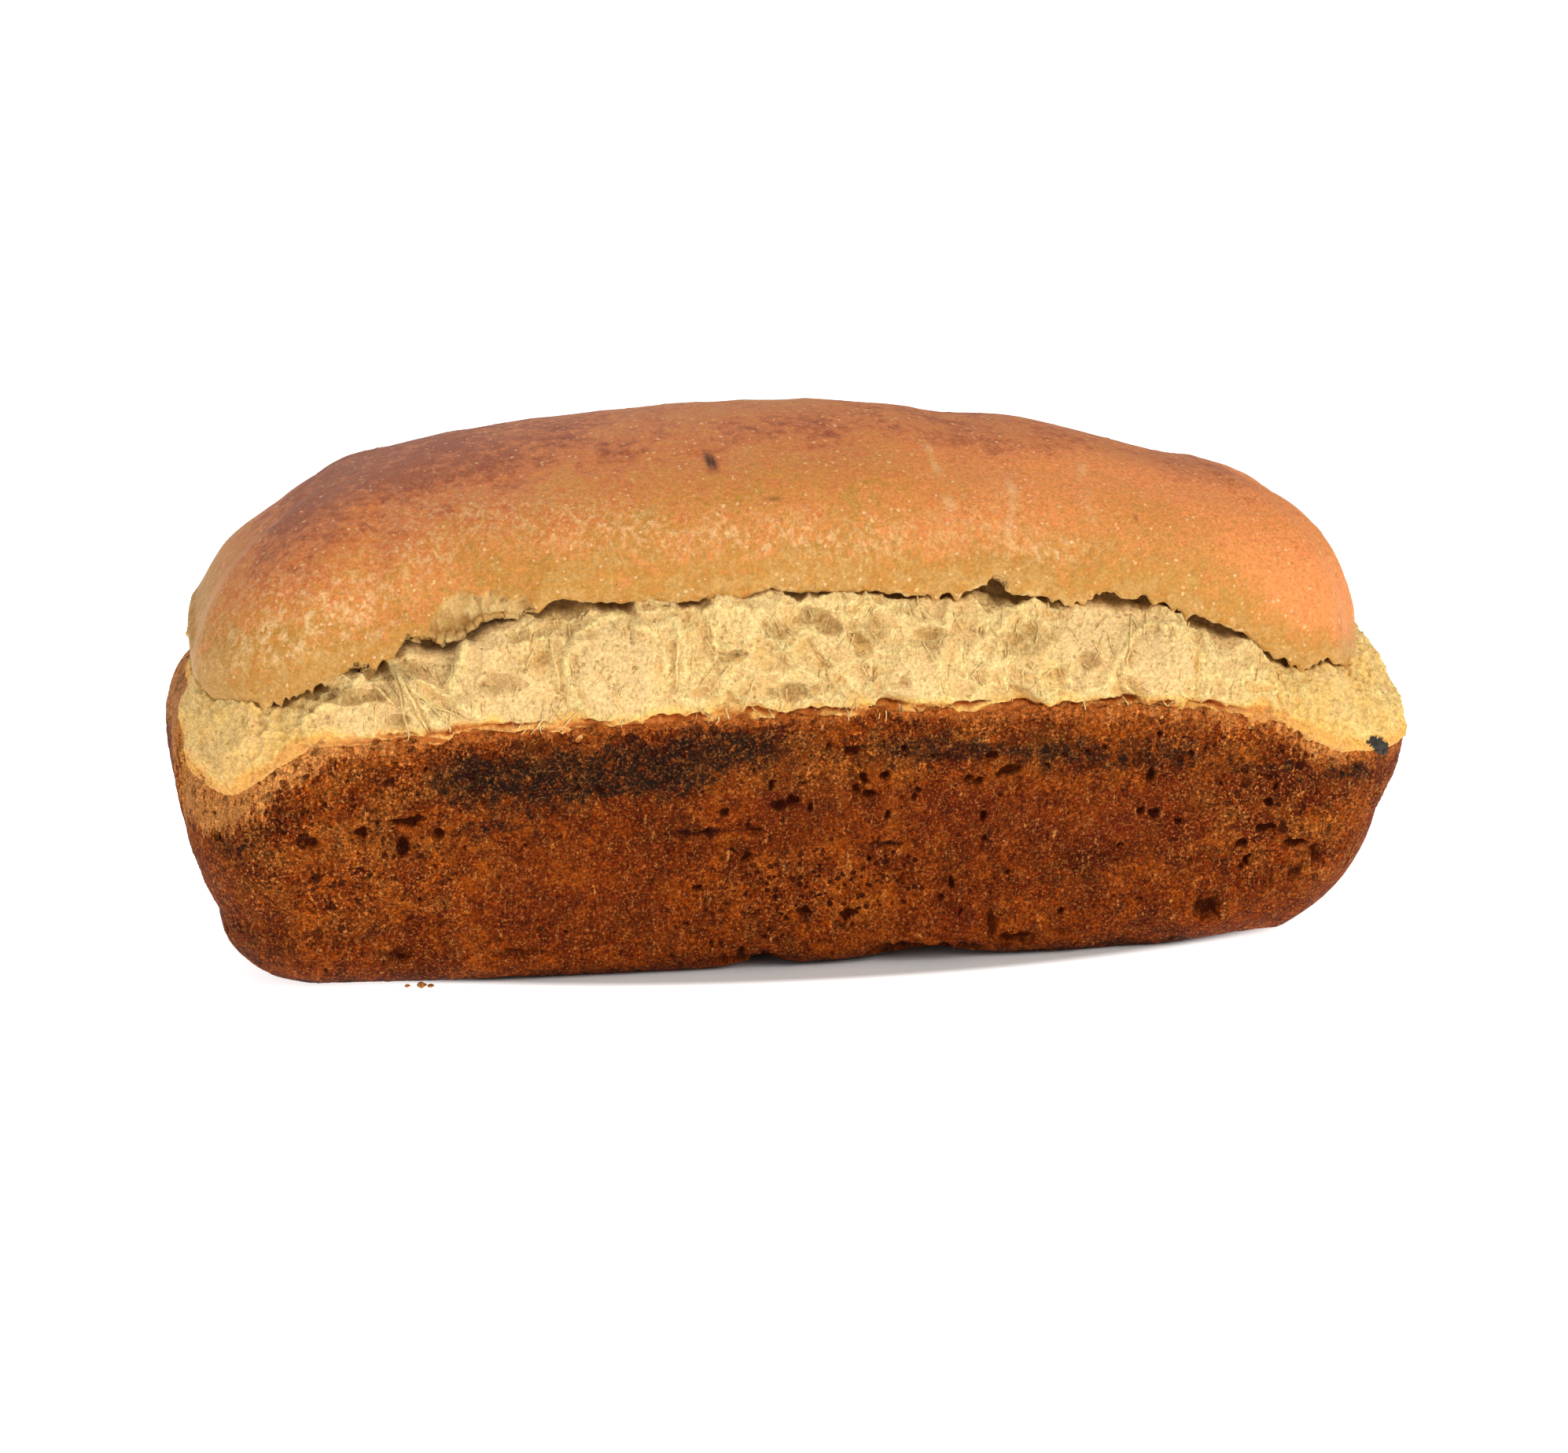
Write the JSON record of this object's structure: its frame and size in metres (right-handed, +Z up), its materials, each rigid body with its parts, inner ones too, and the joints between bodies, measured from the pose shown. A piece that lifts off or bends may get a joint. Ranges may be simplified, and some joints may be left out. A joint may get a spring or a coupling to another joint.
{
  "type": "sweet white loaf",
  "caption": "Whole tin-baked loaf of sweet white bread: browned granular sides, a band of torn pale crumb, and a smooth golden top crust lifted over it.",
  "frame": {"origin": "middle of the underside, on the surface the loaf stands on", "axes": "+X along the loaf, to the right in the picture; +Y across it, away from the pictured side; +Z up"},
  "size_m": [0.2908, 0.1128, 0.1251],
  "materials": {
    "tin_crust": "dry granular brown crust, fine pits, charred in a band under its torn edge",
    "torn_crumb": "soft open pale crumb, torn",
    "top_crust": "smooth golden crust with a soft sheen, paler towards its lower edge"
  },
  "bodies": {
    "root": {"loaf": "tin_crust"}
  },
  "joints": []
}
